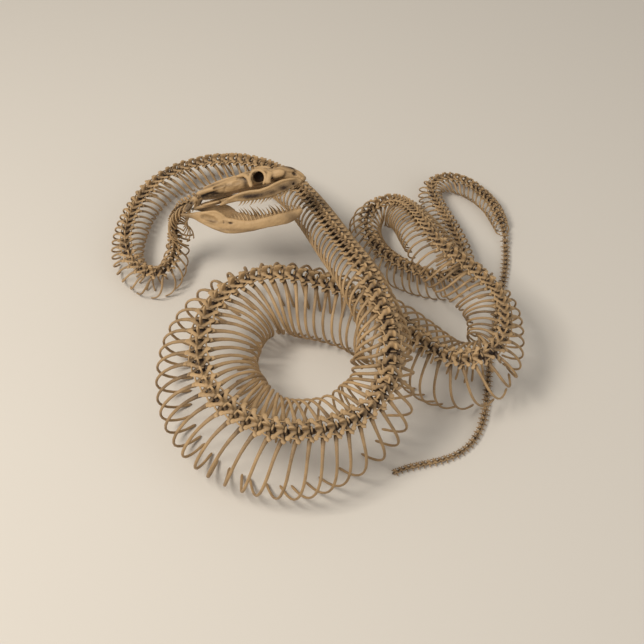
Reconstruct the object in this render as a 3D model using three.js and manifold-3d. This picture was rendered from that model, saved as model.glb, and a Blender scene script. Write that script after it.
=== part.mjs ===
// Life-size skeleton of a large python, lying in loose coils with its head raised.
// Millimetres, +Z up, the floor at Z = 0, the head towards -X and the big coil towards -Y.
import * as THREE from 'three';
import Module from 'manifold-3d';

const wasm = await Module();
wasm.setup();

// ---------------------------------------------------------------- driving sizes

const GAP = 0.3;              // clearance between bones that meet
const RIB_THICKNESS = 0.27;   // rib diameter as a share of the vertebra length
const RIB_SWEEP = 2.0;        // how far a rib tip trails its root, in vertebra lengths
const RIB_ARC = THREE.MathUtils.degToRad(153);  // how far round the body a rib reaches
const SPINE_HEIGHT = 1.05;    // these five are shares of the vertebra length
const NOTCH_HEIGHT = 0.5;
const WING_WIDTH = 1.1;
const WAIST_WIDTH = 0.5;
const KEEL_DEPTH = 0.45;
const CROWDING = 0.72;        // share of a bend's radius that the ribs inside it may fill

// Guide of the backbone, head first: plan position x, y and lift above the resting height.
// The rows are the control points of a uniform cubic B-spline.
const GUIDE = [
  [-72, 116, 90], [-111, 78, 92], [-133, 96, 54], [-133, 101, 3], [-138, 54, 0], [-181, 72, 0],
  [-182, 134, 0], [-159, 190, 0], [-100, 213, 0], [-51, 199, 4], [-16, 147, 19], [12, 52, 55],
  [33, -17, 86], [53, -66, 71], [56, -99, 27], [34, -123, -4], [-22, -146, 0], [-75, -124, 0],
  [-104, -72, 0], [-96, -5, 0], [-61, 34, 0], [-1, 30, 0], [62, -8, 0], [97, -63, 0],
  [144, -65, 17], [156, -11, 21], [139, 28, 20], [101, 40, 41], [85, 102, 31], [73, 159, 0],
  [36, 142, 0], [43, 91, 0], [94, 57, 0], [135, 58, 0], [121, 130, 0], [94, 192, 0],
  [140, 201, 0], [172, 158, 0], [176, 98, 0], [144, -7, 0], [139, -85, 0], [112, -126, 0],
  [43, -129, 0], [49, -178, 0],
];

// Build of the body by distance from the head: vertebra length, half-width and depth of the
// rib cage, and lean of the back in degrees, positive to the animal's right.
const BUILD = [
  { at: 0, pitch: 5.2, half: 5, depth: 8, lean: -34 },
  { at: 24, pitch: 5.7, half: 8, depth: 12, lean: -24 },
  { at: 70, pitch: 6.6, half: 10, depth: 18, lean: -5 },
  { at: 115, pitch: 7.3, half: 13, depth: 23, lean: 0 },
  { at: 190, pitch: 7.7, half: 15.5, depth: 27, lean: 3 },
  { at: 410, pitch: 8.7, half: 16.5, depth: 28, lean: 2 },
  { at: 535, pitch: 9.4, half: 17, depth: 29, lean: 0 },
  { at: 625, pitch: 9.5, half: 18, depth: 34, lean: 2 },
  { at: 707, pitch: 9.6, half: 24, depth: 52, lean: 16 },
  { at: 756, pitch: 9.6, half: 33, depth: 62, lean: 18 },
  { at: 807, pitch: 9.8, half: 40, depth: 65, lean: 12 },
  { at: 880, pitch: 10.6, half: 45, depth: 67, lean: 10 },
  { at: 950, pitch: 10.9, half: 42, depth: 63, lean: 8 },
  { at: 1045, pitch: 10.2, half: 37, depth: 57, lean: 7 },
  { at: 1125, pitch: 9.5, half: 32, depth: 54, lean: 3 },
  { at: 1210, pitch: 9, half: 30, depth: 52, lean: -6 },
  { at: 1255, pitch: 8.7, half: 27.5, depth: 48, lean: -12 },
  { at: 1305, pitch: 8.3, half: 24, depth: 41, lean: -16 },
  { at: 1370, pitch: 8, half: 22.5, depth: 39, lean: -6 },
  { at: 1425, pitch: 7.7, half: 20, depth: 35, lean: 0 },
  { at: 1513, pitch: 7.3, half: 15.5, depth: 28, lean: 0 },
  { at: 1695, pitch: 6.7, half: 13, depth: 23, lean: 0 },
  { at: 1815, pitch: 6.1, half: 11, depth: 17, lean: 0 },
  { at: 1870, pitch: 5.8, half: 9, depth: 12, lean: 0 },
  { at: 1910, pitch: 5.6, half: 6, depth: 6, lean: 0 },
  { at: 1930, pitch: 5.5, half: 3, depth: 1, lean: 0 },
  { at: 2230, pitch: 4.8, half: 3, depth: 1, lean: 0 },
];

// The lengths that the body is divided into, by the distance at which each begins.
const CAGE_LENGTHS = [
  { name: 'neck', from: 0 },
  { name: 'trunk_1', from: 200 },
  { name: 'trunk_2', from: 320 },
  { name: 'trunk_3', from: 450 },
  { name: 'trunk_4', from: 590 },
  { name: 'trunk_5', from: 730 },
  { name: 'trunk_6', from: 850 },
  { name: 'trunk_7', from: 970 },
  { name: 'trunk_8', from: 1090 },
  { name: 'trunk_9', from: 1210 },
  { name: 'trunk_10', from: 1320 },
  { name: 'trunk_11', from: 1440 },
  { name: 'trunk_12', from: 1560 },
  { name: 'trunk_13', from: 1670 },
  { name: 'trunk_14', from: 1780 },
];
const RIBS_END = 1900;
const BOX_CENTRE = [-9.24, 25.64];    // middle of the whole skeleton's footprint in the guide's own plan
const TAIL_LENGTHS = [
  { name: 'tail_1', from: RIBS_END },
  { name: 'tail_2', from: 2060 },
];

// Where the skull sits: its jaw joint, and how far its snout swings towards the front.
const SKULL_YAW = THREE.MathUtils.degToRad(8);
const SKULL_ROLL = THREE.MathUtils.degToRad(37);   // how far the back of the head leans from +Z to +Y
const OCCIPUT = new THREE.Vector3(8, 0, 12);       // where the neck meets it, in the skull's own axes

// ---------------------------------------------------------------- materials

const bone = (name, color, roughness) => new THREE.MeshStandardMaterial({ name, color, roughness });
const SKULL_BONE = bone('skull_bone', 0xa98a5c, 0.6);
const SPINE_BONE = bone('spine_bone', 0xb89a6a, 0.65);
const TAIL_BONE = bone('tail_bone', 0xa68558, 0.65);

const skeleton = new THREE.Group();
skeleton.position.set(-BOX_CENTRE[0], -BOX_CENTRE[1], 0);

function addMesh(name, positions, faces, material) {
  const geometry = new THREE.BufferGeometry();
  geometry.setAttribute('position', new THREE.Float32BufferAttribute(positions.flat(), 3));
  geometry.setIndex(faces.flat());
  geometry.computeVertexNormals();
  const mesh = new THREE.Mesh(geometry, material);
  mesh.name = name;
  skeleton.add(mesh);
}

// ---------------------------------------------------------------- the backbone's path

const smooth = (f) => f * f * (3 - 2 * f);

// Sizes of the body at a distance from the head, eased between the rows of BUILD.
function buildAt(s) {
  const last = BUILD.length - 1;
  const at = Math.min(Math.max(s, BUILD[0].at), BUILD[last].at);
  let i = 0;
  while (i < last - 1 && at >= BUILD[i + 1].at) i += 1;
  const f = smooth((at - BUILD[i].at) / (BUILD[i + 1].at - BUILD[i].at));
  const mix = (key) => BUILD[i][key] + (BUILD[i + 1][key] - BUILD[i][key]) * f;
  return { pitch: mix('pitch'), half: mix('half'), depth: mix('depth'), lean: mix('lean') };
}

// Height of the backbone over the floor when the lowest part of the ribs lies on it.
function restHeight({ pitch, half, depth, lean }) {
  const tilt = Math.abs(THREE.MathUtils.degToRad(lean));
  const ribRadius = (RIB_THICKNESS / 2) * pitch;
  let lowest = KEEL_DEPTH * pitch;
  const steps = 40;
  for (let k = 0; k <= steps; k += 1) {
    const angle = (k / steps) * RIB_ARC;
    const fall = (depth / 2) * (1 - Math.cos(angle)) * Math.cos(tilt);
    lowest = Math.max(lowest, fall + half * Math.sin(angle) * Math.sin(tilt) + ribRadius);
  }
  return lowest;
}

// Point of the guide spline at a parameter that grows by one from each control point to the next.
function guidePoint(u) {
  const i = Math.min(Math.floor(u), GUIDE.length - 4);
  const f = u - i;
  const weights = [
    (1 - f) ** 3 / 6,
    (3 * f ** 3 - 6 * f ** 2 + 4) / 6,
    (-3 * f ** 3 + 3 * f ** 2 + 3 * f + 1) / 6,
    f ** 3 / 6,
  ];
  const point = new THREE.Vector3();
  weights.forEach((w, k) => point.addScaledVector(new THREE.Vector3(...GUIDE[i + k]), w));
  return point;
}

const GUIDE_STEPS = 4000;
const guide = [];
for (let k = 0; k <= GUIDE_STEPS; k += 1) {
  const point = guidePoint((k / GUIDE_STEPS) * (GUIDE.length - 3));
  const before = guide[k - 1];
  guide.push({ point, s: before ? before.s + before.point.distanceTo(point) : 0 });
}
const BODY_LENGTH = guide[GUIDE_STEPS].s;

// Centre of the backbone at a distance from the head.
function centreAt(s) {
  const at = Math.min(Math.max(s, 0), BODY_LENGTH);
  let low = 0;
  let high = GUIDE_STEPS;
  while (high - low > 1) {
    const middle = (low + high) >> 1;
    if (guide[middle].s <= at) low = middle;
    else high = middle;
  }
  const share = (at - guide[low].s) / (guide[high].s - guide[low].s);
  const point = guide[low].point.clone().lerp(guide[high].point, share);
  point.z += restHeight(buildAt(at));
  return point;
}

const UP = new THREE.Vector3(0, 0, 1);
const SLOPE_SPAN = 3;

// Directions at a place on the backbone: tailward, towards the back and to the animal's left.
function frameAt(s) {
  const centre = centreAt(s);
  const tailward = centreAt(s + SLOPE_SPAN).sub(centreAt(s - SLOPE_SPAN)).normalize();
  const upright = UP.clone().addScaledVector(tailward, -tailward.z).normalize();
  const sideways = upright.clone().cross(tailward);
  const tilt = THREE.MathUtils.degToRad(buildAt(s).lean);
  const dorsal = upright.multiplyScalar(Math.cos(tilt)).addScaledVector(sideways, Math.sin(tilt));
  const right = dorsal.clone().cross(tailward);
  return { centre, tailward, dorsal, right };
}

// Curvature of the backbone: how sharply it bends to the right and towards the belly.
function bendAt(s, frame) {
  const turn = frameAt(s + 2 * SLOPE_SPAN).tailward.sub(frameAt(s - 2 * SLOPE_SPAN).tailward);
  turn.divideScalar(4 * SLOPE_SPAN);
  return { right: turn.dot(frame.right), belly: -turn.dot(frame.dorsal) };
}

// ---------------------------------------------------------------- vertebrae and ribs

const stations = [];
for (let s = 0; s < BODY_LENGTH - 3; s += buildAt(s).pitch) {
  const frame = frameAt(s);
  stations.push({ s, ...buildAt(s), ...frame, bend: bendAt(s, frame) });
}

// Place on a vertebra: sizes are shares of its length, side is +1 on the right and -1 on the left.
function place(v, along, out, up, side) {
  return v.centre.clone()
    .addScaledVector(v.tailward, along * v.pitch)
    .addScaledVector(v.right, side * (out * v.pitch + GAP / 2))
    .addScaledVector(v.dorsal, up * v.pitch);
}

// A bend closes up the ribs on its inside, so a rib there reaches less far.
function reachOf(v, side) {
  const inward = Math.max(side * v.bend.right, 1e-6);
  return Math.min(v.half, CROWDING / inward);
}

// Centre of a rib at an angle round the body, from its root at 0 to its tip at RIB_ARC.
function ribPoint(v, side, angle) {
  const depth = Math.min(v.depth, (CROWDING / Math.max(v.bend.belly, 1e-6)));
  const point = v.centre.clone()
    .addScaledVector(v.tailward, RIB_SWEEP * v.pitch * (angle / RIB_ARC) ** 1.5)
    .addScaledVector(v.right, side * reachOf(v, side) * Math.sin(angle))
    .addScaledVector(v.dorsal, -(depth / 2) * (1 - Math.cos(angle)));
  point.z = Math.max(point.z, (RIB_THICKNESS / 2) * v.pitch);
  return point;
}

// Angles of a rib's rings: a larger rib has more of them.
function ringAngles(v) {
  if (v.half > 26) return [30, 72, 114].map(THREE.MathUtils.degToRad);
  if (v.half > 15) return [34, 92].map(THREE.MathUtils.degToRad);
  return [THREE.MathUtils.degToRad(60)];
}

// Grows a three-sided spike out of a triangle of a mesh, through rings to a point.
function growSpike(mesh, base, rings, tip) {
  let ring = base;
  for (const next of rings) {
    const corners = base.map((_, k) => mesh.add(next(k)));
    for (let k = 0; k < 3; k += 1) {
      const j = (k + 1) % 3;
      mesh.faces.push([ring[k], ring[j], corners[j]], [ring[k], corners[j], corners[k]]);
    }
    ring = corners;
  }
  const end = mesh.add(tip);
  for (let k = 0; k < 3; k += 1) mesh.faces.push([ring[k], ring[(k + 1) % 3], end]);
}

function newMesh() {
  const positions = [];
  const faces = [];
  const add = (p) => positions.push([p.x, p.y, p.z]) - 1;
  const at = (index) => new THREE.Vector3(...positions[index]);
  return { positions, faces, add, at };
}

function growRib(mesh, v, side, base) {
  const radius = (RIB_THICKNESS / 2) * v.pitch;
  const rings = ringAngles(v).map((angle) => {
    const centre = ribPoint(v, side, angle);
    const along = ribPoint(v, side, angle + 0.05).sub(ribPoint(v, side, angle - 0.05)).normalize();
    const across = v.tailward.clone().addScaledVector(along, -v.tailward.dot(along)).normalize();
    const normal = along.clone().cross(across);
    const root = mesh.at(base[0]).sub(v.centre);
    const start = Math.atan2(root.dot(normal), root.dot(across));
    return (k) => {
      const turn = start + (k * 2 * Math.PI) / 3;
      return centre.clone()
        .addScaledVector(across, radius * Math.cos(turn))
        .addScaledVector(normal, radius * Math.sin(turn));
    };
  });
  const tip = ribPoint(v, side, RIB_ARC);
  tip.z -= radius;
  growSpike(mesh, base, rings, tip);
}

// One side of a length of the rib cage: half of each vertebra, with its rib.
// Lines run along it: the crest with notches, the wings with waists, and the keel.
function addCageSide(name, row, next, side) {
  const mesh = newMesh();
  const flip = side > 0 ? (face) => face : ([a, b, c]) => [a, c, b];
  const push = (...corners) => mesh.faces.push(flip(corners));
  const joint = (v, along) => ({
    notch: mesh.add(place(v, along, 0, NOTCH_HEIGHT, side)),
    wing: mesh.add(place(v, along, WING_WIDTH, 0.15, side)),
  });
  const endTrim = GAP / 2;
  let front = joint(row[0], -0.45 + endTrim / row[0].pitch);
  let keel = null;
  row.forEach((v, i) => {
    const isLast = i === row.length - 1;
    const crest = mesh.add(place(v, 0.05, 0, SPINE_HEIGHT, side));
    const waist = mesh.add(place(v, 0.05, WAIST_WIDTH, 0.05, side));
    const bottom = mesh.add(place(v, 0, 0, -KEEL_DEPTH, side));
    const back = isLast ? joint(next, -0.45 - endTrim / next.pitch) : joint(row[i + 1], -0.45);
    push(front.notch, crest, waist);
    push(front.notch, waist, front.wing);
    push(crest, back.notch, back.wing);
    push(crest, back.wing, waist);
    push(waist, back.wing, bottom);
    if (keel === null) push(front.notch, front.wing, bottom);
    else {
      push(front.wing, bottom, keel);
      push(front.notch, keel, bottom);
    }
    push(front.notch, bottom, crest);
    push(crest, bottom, back.notch);
    growRib(mesh, v, side, flip([front.wing, waist, bottom]));
    if (isLast) push(back.notch, bottom, back.wing);
    front = back;
    keel = bottom;
  });
  addMesh(name, mesh.positions, mesh.faces, SPINE_BONE);
}

// A length of the tail: whole vertebrae without ribs, with short side processes.
function addTail(name, row, next) {
  const mesh = newMesh();
  const section = (v, along, top, wide) => [
    mesh.add(place(v, along, 0, top, 0)),
    mesh.add(place(v, along, wide, 0.1, 1)),
    mesh.add(place(v, along, 0, -KEEL_DEPTH, 0)),
    mesh.add(place(v, along, wide, 0.1, -1)),
  ];
  const sections = [];
  row.forEach((v, i) => {
    const trim = i === 0 ? GAP / 2 / v.pitch : 0;
    sections.push(section(v, -0.45 + trim, 0.35, 0.45));
    sections.push(section(v, 0, 0.75, 0.85));
  });
  if (next) sections.push(section(next, -0.45 - GAP / 2 / next.pitch, 0.35, 0.45));
  else sections.push(section(row[row.length - 1], 0.9, 0.2, 0.25));
  for (let i = 1; i < sections.length; i += 1) {
    const [a, b] = [sections[i - 1], sections[i]];
    for (let k = 0; k < 4; k += 1) {
      const j = (k + 1) % 4;
      mesh.faces.push([a[k], b[k], b[j]], [a[k], b[j], a[j]]);
    }
  }
  const [first, end] = [sections[0], sections[sections.length - 1]];
  mesh.faces.push([first[0], first[1], first[2]], [first[0], first[2], first[3]]);
  mesh.faces.push([end[0], end[2], end[1]], [end[0], end[3], end[2]]);
  addMesh(name, mesh.positions, mesh.faces, TAIL_BONE);
}

const rowsOf = (lengths, end) => lengths.map(({ name, from }, i) => {
  const to = i + 1 < lengths.length ? lengths[i + 1].from : end;
  return { name, row: stations.filter((v) => v.s >= from && v.s < to), next: stations.find((v) => v.s >= to) };
});
for (const { name, row, next } of rowsOf(CAGE_LENGTHS, RIBS_END)) {
  addCageSide(`${name}_right`, row, next, 1);
  addCageSide(`${name}_left`, row, next, -1);
}
for (const { name, row, next } of rowsOf(TAIL_LENGTHS, BODY_LENGTH)) addTail(name, row, next);

// ---------------------------------------------------------------- the skull

// The skull's own axes: x towards the snout, y to its left, z towards its top, with the right
// jaw joint at the origin's height. They are placed so that the occiput meets the first vertebra.
const snoutward = new THREE.Vector3(1, 0, 0);
const skullTop = new THREE.Vector3(0, Math.sin(SKULL_ROLL), Math.cos(SKULL_ROLL));
snoutward.applyAxisAngle(skullTop, -SKULL_YAW);
const skullLeft = skullTop.clone().cross(snoutward);
const skullToWorld = new THREE.Matrix4().makeBasis(snoutward, skullLeft, skullTop);
const firstVertebra = place(stations[0], -0.45 - GAP / stations[0].pitch, 0, 0, 0);
skullToWorld.setPosition(firstVertebra.sub(OCCIPUT.clone().applyMatrix4(skullToWorld)));

// Value of a column of an outline's rows at x, with straight runs between the rows.
function sampleRow(rows, x) {
  let i = 0;
  while (i < rows.length - 2 && x > rows[i + 1][0]) i += 1;
  const f = THREE.MathUtils.clamp((x - rows[i][0]) / (rows[i + 1][0] - rows[i][0]), 0, 1);
  return rows[i].map((value, k) => value + (rows[i + 1][k] - value) * f);
}

// Sides of a closed loft through rings of equal counts, ordered so that its faces point out.
function loft(mesh, rings) {
  const count = rings[0].length;
  for (let i = 1; i < rings.length; i += 1) {
    for (let k = 0; k < count; k += 1) {
      const j = (k + 1) % count;
      const [a, b, c, d] = [rings[i - 1][k], rings[i - 1][j], rings[i][j], rings[i][k]];
      mesh.faces.push([a, b, c], [a, c, d]);
    }
  }
  const [first, last] = [rings[0], rings[rings.length - 1]];
  for (let k = 1; k < count - 1; k += 1) {
    mesh.faces.push([first[0], first[k + 1], first[k]], [last[0], last[k], last[k + 1]]);
  }
}

// A four-sided bone along the skull. Rows hold x, the middle's y, top z, bottom z and half thickness.
// Teeth hold the side they grow from, the x range, spacing, length at each end and middle, and slant.
function barMesh(rows, side, teeth) {
  const mesh = newMesh();
  const stationsX = rows.map((row) => row[0]);
  if (teeth) {
    const inside = (x) => x > teeth.from && x < teeth.to;
    const kept = stationsX.filter((x) => !inside(x));
    const count = Math.round((teeth.to - teeth.from) / teeth.spacing);
    for (let k = 0; k <= count; k += 1) kept.push(teeth.from + (k * (teeth.to - teeth.from)) / count);
    stationsX.splice(0, stationsX.length, ...new Set(kept.sort((a, b) => a - b)));
  }
  const rings = stationsX.map((x) => {
    const [, y, top, bottom, half] = sampleRow(rows, x);
    const corner = (out, z) => mesh.add(new THREE.Vector3(x, side * (y + out), z));
    const ring = [corner(-half, bottom), corner(half, bottom), corner(0.7 * half, top), corner(-0.7 * half, top)];
    return side > 0 ? ring : [ring[1], ring[0], ring[3], ring[2]];
  });
  loft(mesh, rings);
  if (teeth) growTeeth(mesh, stationsX, rings, teeth);
  return mesh;
}

// Replaces one triangle between each two tooth stations with a backward-slanting tooth.
function growTeeth(mesh, stationsX, rings, teeth) {
  const edge = teeth.up ? 2 : 0;
  stationsX.forEach((x, i) => {
    if (i === 0 || stationsX[i - 1] < teeth.from - 0.01 || x > teeth.to + 0.01) return;
    const [a, b, c] = [rings[i - 1][edge], rings[i - 1][edge + 1], rings[i][edge + 1]];
    const found = mesh.faces.findIndex((face) => face[0] === a && face[1] === b && face[2] === c);
    mesh.faces.splice(found, 1);
    const share = (x - teeth.from) / (teeth.to - teeth.from);
    const size = teeth.ends + (teeth.middle - teeth.ends) * Math.sin(Math.PI * share ** teeth.peak);
    const tip = mesh.at(a).add(mesh.at(b)).add(mesh.at(c)).divideScalar(3);
    tip.x -= teeth.slant * size;
    tip.z += teeth.up ? size : -size;
    growSpike(mesh, [a, b, c], [], tip);
  });
}

// Faceted solid of a mesh, for joining.
function solidOf(mesh) {
  const vertProperties = new Float32Array(mesh.positions.flat());
  const triVerts = new Uint32Array(mesh.faces.flat());
  return new wasm.Manifold(new wasm.Mesh({ numProp: 3, vertProperties, triVerts }));
}

function joined(meshes) {
  const whole = meshes.map(solidOf).reduce((sum, part) => sum.add(part)).getMesh();
  const mesh = newMesh();
  for (let k = 0; k < whole.vertProperties.length; k += whole.numProp) {
    mesh.positions.push([...whole.vertProperties.slice(k, k + 3)]);
  }
  for (let k = 0; k < whole.triVerts.length; k += 3) mesh.faces.push([...whole.triVerts.slice(k, k + 3)]);
  return mesh;
}

function addSkullBone(name, mesh) {
  const positions = mesh.positions.map((p) => new THREE.Vector3(...p).applyMatrix4(skullToWorld).toArray());
  addMesh(name, positions, mesh.faces, SKULL_BONE);
}

// Braincase, frontals, nasals and snout tip as one: x, top z, bottom z and half-width.
const CRANIUM = [
  [8.6, 15.5, 9, 3.5], [13, 18.5, 9, 7.5], [20, 21, 10, 10], [31, 25.5, 13, 9.5], [44, 30, 17.5, 8.5],
  [55, 32.5, 21, 8], [60, 35.5, 24, 8], [72, 36, 26.5, 7.5], [79, 38.2, 27, 9], [86, 37.6, 27, 8.5],
  [92, 35.2, 27.5, 7], [97, 32.5, 27, 5.5], [100, 30, 26.5, 3.5],
];

function craniumBody() {
  const mesh = newMesh();
  const rings = CRANIUM.map(([x, top, bottom, half]) => {
    const middle = (top + bottom) / 2;
    const corner = (y, z) => mesh.add(new THREE.Vector3(x, y, z));
    return [
      corner(-0.45 * half, bottom), corner(0.45 * half, bottom), corner(half, middle - 0.5),
      corner(0.75 * half, top - 1.8), corner(0, top), corner(-0.75 * half, top - 1.8), corner(-half, middle - 0.5),
    ];
  });
  loft(mesh, rings);
  return mesh;
}

// Strut from the back of the eye socket's roof down to the cheek, as rows of x, y, top z, bottom z.
const POSTORBITAL = [[49, 5.5, 31, 27, 1.6], [53, 9.5, 32, 27.5, 1.4], [55.5, 13.5, 30.5, 22, 1.2], [57, 15, 26, 20.2, 1.1]];
const PREFRONTAL = [[70, 7, 34.5, 29, 2.5], [74, 10, 36, 26, 2.4], [80, 10.5, 36.5, 28.5, 2.2], [85, 7, 35, 30, 2]];
const SUPRATEMPORAL = [[8.6, 13.5, 17, 13.8, 1.5], [16, 12, 19.5, 15.5, 1.6], [25, 10, 22, 18, 1.6], [33, 8, 24.5, 20.5, 1.5]];

const craniumParts = [craniumBody()];
for (const side of [1, -1]) {
  for (const rows of [POSTORBITAL, PREFRONTAL, SUPRATEMPORAL]) craniumParts.push(barMesh(rows, side));
}
addSkullBone('cranium', joined(craniumParts));

const MAXILLA = [
  [30, 17.5, 9, 5.5, 1.4], [40, 18, 14, 9, 1.7], [52, 18, 17.5, 11.5, 2.2], [64, 17.5, 18.8, 11.5, 2.4],
  [74, 16, 23, 13.5, 2.4], [84, 13, 27.5, 18, 2.2], [92, 10, 29.5, 21.5, 1.8], [98.5, 6.6, 29, 25, 1.2],
];
const MAXILLA_TEETH = { up: false, from: 50, to: 96, spacing: 3.5, ends: 2.6, middle: 4.2, peak: 0.8, slant: 0.5 };

const PALATE = [
  [3.5, 15.2, 3.4, 1, 1.2], [12, 14.8, 5.8, 2.6, 1.5], [24, 12.6, 9.2, 5.5, 1.8], [38, 9.5, 13.5, 10, 1.8],
  [52, 7, 16, 13, 1.7], [68, 5.5, 20, 17, 1.5], [82, 4.5, 25.5, 22.5, 1.2],
];
const PALATE_TEETH = { up: false, from: 34, to: 80, spacing: 5.5, ends: 1.6, middle: 2.8, peak: 1.2, slant: 0.5 };

const QUADRATE = [[0.5, 19.5, 4, 0.6, 2.4], [2.5, 18.6, 8, 3, 1.8], [5.5, 16.6, 11.5, 7, 1.6], [8.6, 14.6, 13.4, 10, 2.2]];

const MANDIBLE = [
  [-4, 20.5, 0, -3, 1.6], [1, 20.5, 0.2, -3.4, 2.6], [10, 20.3, -0.2, -6.2, 2.2], [21, 20, -1.2, -11, 2],
  [31, 19.4, -3.5, -14.6, 1.9], [36, 19, -5.8, -16.2, 1.9], [46, 18, -6.8, -16.2, 2], [59, 16, -6.4, -14, 2.2],
  [71, 13, -3.2, -11.6, 2.2], [83, 8.8, 0.2, -10.2, 2.1], [91, 5.2, 1.8, -8.4, 2], [97.5, 2.8, 2.2, -3, 1.6],
];
const MANDIBLE_TEETH = { up: true, from: 41, to: 95.5, spacing: 3.4, ends: 2.6, middle: 6, peak: 0.55, slant: 0.45 };

const PAIRED_BONES = [
  ['maxilla', MAXILLA, MAXILLA_TEETH],
  ['palate', PALATE, PALATE_TEETH],
  ['quadrate', QUADRATE, null],
  ['mandible', MANDIBLE, MANDIBLE_TEETH],
];
for (const [name, rows, teeth] of PAIRED_BONES) {
  addSkullBone(`${name}_left`, barMesh(rows, 1, teeth));
  addSkullBone(`${name}_right`, barMesh(rows, -1, teeth));
}

export default skeleton;
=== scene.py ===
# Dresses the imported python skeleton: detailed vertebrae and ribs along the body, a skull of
# separate toothed bones, aged-bone materials with painted shade, a pale studio and the camera.
import math

import bmesh
import bpy
import numpy as np
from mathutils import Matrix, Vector
from mathutils.bvhtree import BVHTree


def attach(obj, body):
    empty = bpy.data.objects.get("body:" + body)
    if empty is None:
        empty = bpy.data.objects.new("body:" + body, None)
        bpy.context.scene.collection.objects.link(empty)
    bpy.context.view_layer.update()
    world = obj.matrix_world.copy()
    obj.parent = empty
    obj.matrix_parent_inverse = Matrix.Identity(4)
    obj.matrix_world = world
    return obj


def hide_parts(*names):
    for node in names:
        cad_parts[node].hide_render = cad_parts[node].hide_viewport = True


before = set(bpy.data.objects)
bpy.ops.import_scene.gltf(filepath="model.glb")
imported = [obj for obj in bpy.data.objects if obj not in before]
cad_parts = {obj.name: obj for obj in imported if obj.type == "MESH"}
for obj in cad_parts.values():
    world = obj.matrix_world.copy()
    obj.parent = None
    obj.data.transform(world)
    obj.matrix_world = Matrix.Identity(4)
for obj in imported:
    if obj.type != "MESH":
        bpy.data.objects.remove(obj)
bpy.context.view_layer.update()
MM = 0.001
RNG = np.random.default_rng(7)

# ---------------------------------------------------------------- camera, floor and light

LENS_MM = 65.0
CAMERA_DISTANCE = 1.0
CAMERA_ELEVATION = math.radians(50)
GUIDE_SHIFT = Vector((9.24, -25.64, 0)) * MM   # from the guide's own plane to the frame
AIM = GUIDE_SHIFT + Vector((0, 0, 0.03))


def add_camera():
    looking = Vector((0, math.cos(CAMERA_ELEVATION), -math.sin(CAMERA_ELEVATION)))
    data = bpy.data.cameras.new("camera")
    data.lens = LENS_MM
    data.clip_start = 0.01
    camera = bpy.data.objects.new("camera", data)
    camera.location = AIM - looking * CAMERA_DISTANCE
    camera.rotation_euler = looking.to_track_quat("-Z", "Y").to_euler()
    bpy.context.scene.collection.objects.link(camera)
    bpy.context.scene.camera = camera


def add_area_light(name, place, size, watts, colour):
    data = bpy.data.lights.new(name, "AREA")
    data.size = size
    data.energy = watts
    data.color = colour
    lamp = bpy.data.objects.new(name, data)
    lamp.location = place
    lamp.rotation_euler = (AIM - Vector(place)).to_track_quat("-Z", "Y").to_euler()
    bpy.context.scene.collection.objects.link(lamp)


def add_studio():
    mesh = bpy.data.meshes.new("floor")
    half = 4.0
    corners = [(-half, -half, 0), (half, -half, 0), (half, half, 0), (-half, half, 0)]
    mesh.from_pydata(corners, [], [(0, 1, 2, 3)])
    floor = bpy.data.objects.new("floor", mesh)
    floor.location.z = -0.0003
    bpy.context.scene.collection.objects.link(floor)
    paper = bpy.data.materials.new("floor_paper")
    paper.use_nodes = True
    shader = paper.node_tree.nodes["Principled BSDF"]
    shader.inputs["Base Color"].default_value = (0.62, 0.57, 0.5, 1)
    shader.inputs["Roughness"].default_value = 0.9
    shader.inputs["Specular IOR Level"].default_value = 0.2
    floor.data.materials.append(paper)
    world = bpy.data.worlds.new("studio")
    world.use_nodes = True
    world.node_tree.nodes["Background"].inputs[0].default_value = (0.95, 0.93, 0.9, 1)
    world.node_tree.nodes["Background"].inputs[1].default_value = 0.45
    bpy.context.scene.world = world
    bpy.context.scene.view_settings.view_transform = "Standard"
    add_area_light("key", (-0.75, -0.35, 1.25), 0.5, 17, (1.0, 0.96, 0.9))
    add_area_light("fill", (1.2, -0.8, 0.9), 1.2, 5, (0.95, 0.97, 1.0))


# ---------------------------------------------------------------- bone materials

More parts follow.
